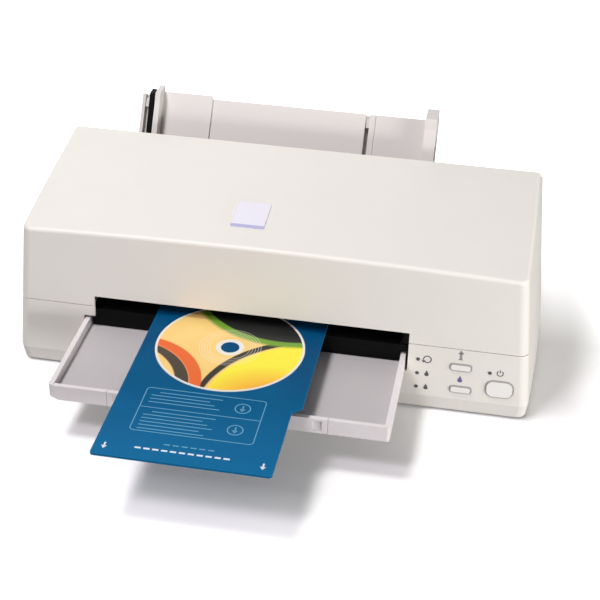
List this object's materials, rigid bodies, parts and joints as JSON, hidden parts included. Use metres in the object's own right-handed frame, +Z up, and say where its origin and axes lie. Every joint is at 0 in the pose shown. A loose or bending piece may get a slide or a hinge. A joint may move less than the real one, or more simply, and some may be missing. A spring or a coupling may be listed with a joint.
{
  "type": "disc label printer",
  "caption": "Desktop inkjet printer with a flat disc carrier in its front slot, a sliding output tray with an extension, a hinged cover and a rear sheet feeder.",
  "frame": {"origin": "on the table, below the middle of the printer's bounding box with its disc carrier out", "axes": "+X to the right of someone facing the front, +Y from the front to the back panel, +Z up"},
  "size_m": [0.4404, 0.4204, 0.175],
  "materials": {
    "case_ivory": "fine grained",
    "tray_ivory": "fine grained",
    "button_ivory": "smooth",
    "badge_plate": "smooth",
    "lamp_lens": "clear",
    "dark_plastic": "satin",
    "sheet_steel": "zinc plated",
    "polished_steel": "ground",
    "roller_rubber": "matt",
    "carrier_blue": "satin with pale printed lines",
    "disc_print": "printed face",
    "ink_black": "satin",
    "ink_colour": "satin",
    "gear_white": "smooth",
    "board_green": "solder mask",
    "belt_rubber": "toothed",
    "strip_clear": "film with fine lines",
    "felt": "felt"
  },
  "bodies": {
    "case": {"bottom_case": "case_ivory", "rear_case": "case_ivory", "chassis_left": "sheet_steel", "chassis_right": "sheet_steel", "rear_beam": "sheet_steel", "front_beam": "sheet_steel", "guide_rod": "polished_steel", "platen": "dark_plastic", "star_bar": "dark_plastic", "pinch_arms": "dark_plastic", "carriage_belt": "belt_rubber", "carriage_motor": "sheet_steel", "idler_bracket": "dark_plastic", "encoder_strip": "strip_clear", "cap_station": "dark_plastic", "cap_pad": "roller_rubber", "feed_motor": "sheet_steel", "feeder_frame": "case_ivory", "paper_chute": "dark_plastic", "slot_apron": "dark_plastic", "lamps": "lamp_lens", "panel_board": "board_green", "main_board": "board_green", "power_supply": "dark_plastic", "mains_inlet": "dark_plastic", "data_port": "dark_plastic", "waste_pad": "felt", "rubber_feet": "roller_rubber", "case_screws": "sheet_steel"},
    "cover": {"top_cover": "case_ivory", "cover_badge": "badge_plate"},
    "tray": {"output_tray": "tray_ivory"},
    "extension": {"tray_extension": "tray_ivory"},
    "carrier": {"disc_carrier": "carrier_blue"},
    "disc": {"disc": "disc_print"},
    "feed": {"feed_roller": "roller_rubber", "feed_gear": "gear_white"},
    "idler": {"idler_gear": "gear_white"},
    "eject": {"eject_roller": "polished_steel", "eject_gear": "gear_white", "eject_tyres": "roller_rubber"},
    "pinion": {"pinion_shaft": "polished_steel", "motor_pinion": "gear_white"},
    "stars": {"star_wheels": "sheet_steel"},
    "pinch": {"pinch_rollers": "dark_plastic"},
    "head": {"carriage": "dark_plastic", "black_cartridge": "ink_black", "colour_cartridge": "ink_colour"},
    "latch_black": {"black_latch": "dark_plastic"},
    "latch_colour": {"colour_latch": "dark_plastic"},
    "pulley_drive": {"drive_pulley": "gear_white"},
    "pulley_idle": {"idler_pulley": "gear_white"},
    "hopper": {"hopper_plate": "case_ivory"},
    "guide": {"edge_guide": "case_ivory"},
    "lever": {"edge_lever": "dark_plastic"},
    "pickup": {"pickup_shaft": "polished_steel", "pickup_tyres": "roller_rubber"},
    "button_load": {"load_button": "button_ivory"},
    "button_clean": {"clean_button": "button_ivory"},
    "button_power": {"power_button": "button_ivory"}
  },
  "joints": [
    {"name": "cover_hinge", "type": "hinge", "parent": "case", "child": "cover", "pos_m": [0, 0.1237, 0.1443], "axis": [-1, 0, 0], "range_deg": [0, 65]},
    {"name": "tray_slide", "type": "slide", "parent": "case", "child": "tray", "axis": [0, -1, 0], "range_m": [-0.095, 0]},
    {"name": "extension_slide", "type": "slide", "parent": "tray", "child": "extension", "axis": [0, -1, 0], "range_m": [0, 0.092]},
    {"name": "carrier_slide", "type": "slide", "parent": "case", "child": "carrier", "axis": [0, -1, 0], "range_m": [-0.14, 0.03]},
    {"name": "disc_lift", "type": "slide", "parent": "carrier", "child": "disc", "axis": [0, 0, 1], "range_m": [0, 0.008]},
    {"name": "feed_turn", "type": "hinge", "parent": "case", "child": "feed", "pos_m": [0, 0.0602, 0.0551], "axis": [1, 0, 0], "range_deg": [-1339, 289]},
    {"name": "eject_turn", "type": "hinge", "parent": "case", "child": "eject", "pos_m": [0, 0.0102, 0.0551], "axis": [1, 0, 0], "range_deg": [-1339, 289]},
    {"name": "idler_turn", "type": "hinge", "parent": "case", "child": "idler", "pos_m": [0, 0.0352, 0.0551], "axis": [1, 0, 0], "range_deg": [-267, 1237]},
    {"name": "pinion_turn", "type": "hinge", "parent": "case", "child": "pinion", "pos_m": [0, 0.0719, 0.04013], "axis": [1, 0, 0], "range_deg": [-494, 2294]},
    {"name": "stars_turn", "type": "hinge", "parent": "case", "child": "stars", "pos_m": [0, 0.0102, 0.0689], "axis": [1, 0, 0], "range_deg": [-346, 1607]},
    {"name": "pinch_turn", "type": "hinge", "parent": "case", "child": "pinch", "pos_m": [0, 0.0602, 0.0679], "axis": [1, 0, 0], "range_deg": [-432, 2008]},
    {"name": "carriage_slide", "type": "slide", "parent": "case", "child": "head", "axis": [1, 0, 0], "range_m": [-0.276, 0]},
    {"name": "black_latch_turn", "type": "hinge", "parent": "head", "child": "latch_black", "pos_m": [0, 0.0502, 0.1013], "axis": [-1, 0, 0], "range_deg": [0, 40]},
    {"name": "colour_latch_turn", "type": "hinge", "parent": "head", "child": "latch_colour", "pos_m": [0, 0.0502, 0.1013], "axis": [-1, 0, 0], "range_deg": [0, 40]},
    {"name": "drive_pulley_turn", "type": "hinge", "parent": "case", "child": "pulley_drive", "pos_m": [0.181, 0.0762, 0.108], "axis": [0, 1, 0], "range_deg": [-2, 1979]},
    {"name": "idler_pulley_turn", "type": "hinge", "parent": "case", "child": "pulley_idle", "pos_m": [-0.176, 0.0762, 0.108], "axis": [0, 1, 0], "range_deg": [-2, 1979]},
    {"name": "hopper_swing", "type": "hinge", "parent": "case", "child": "hopper", "pos_m": [0, 0.17695, 0.15801], "axis": [-1, 0, 0], "range_deg": [0, 6.5]},
    {"name": "guide_slide", "type": "slide", "parent": "hopper", "child": "guide", "axis": [1, 0, 0], "range_m": [0, 0.105]},
    {"name": "lever_press", "type": "slide", "parent": "guide", "child": "lever", "axis": [1, 0, 0], "range_m": [0, 0.0014], "stiffness_N_per_m": 200},
    {"name": "pickup_turn", "type": "hinge", "parent": "case", "child": "pickup", "pos_m": [0, 0.11887, 0.11506], "axis": [1, 0, 0], "continuous": true},
    {"name": "press_load", "type": "slide", "parent": "case", "child": "button_load", "axis": [0, 1, 0], "range_m": [0, 0.001], "stiffness_N_per_m": 400},
    {"name": "press_clean", "type": "slide", "parent": "case", "child": "button_clean", "axis": [0, 1, 0], "range_m": [0, 0.001], "stiffness_N_per_m": 400},
    {"name": "press_power", "type": "slide", "parent": "case", "child": "button_power", "axis": [0, 1, 0], "range_m": [0, 0.001], "stiffness_N_per_m": 400}
  ],
  "couplings": [
    {"joint": "feed_turn", "follows": "carrier_slide", "rad_per_m": 166.67},
    {"joint": "eject_turn", "follows": "carrier_slide", "rad_per_m": 166.67},
    {"joint": "idler_turn", "follows": "carrier_slide", "rad_per_m": -153.85},
    {"joint": "pinion_turn", "follows": "carrier_slide", "rad_per_m": -285.71},
    {"joint": "stars_turn", "follows": "carrier_slide", "rad_per_m": -200},
    {"joint": "pinch_turn", "follows": "carrier_slide", "rad_per_m": -250},
    {"joint": "drive_pulley_turn", "follows": "carriage_slide", "rad_per_m": -125},
    {"joint": "idler_pulley_turn", "follows": "carriage_slide", "rad_per_m": -125}
  ]
}
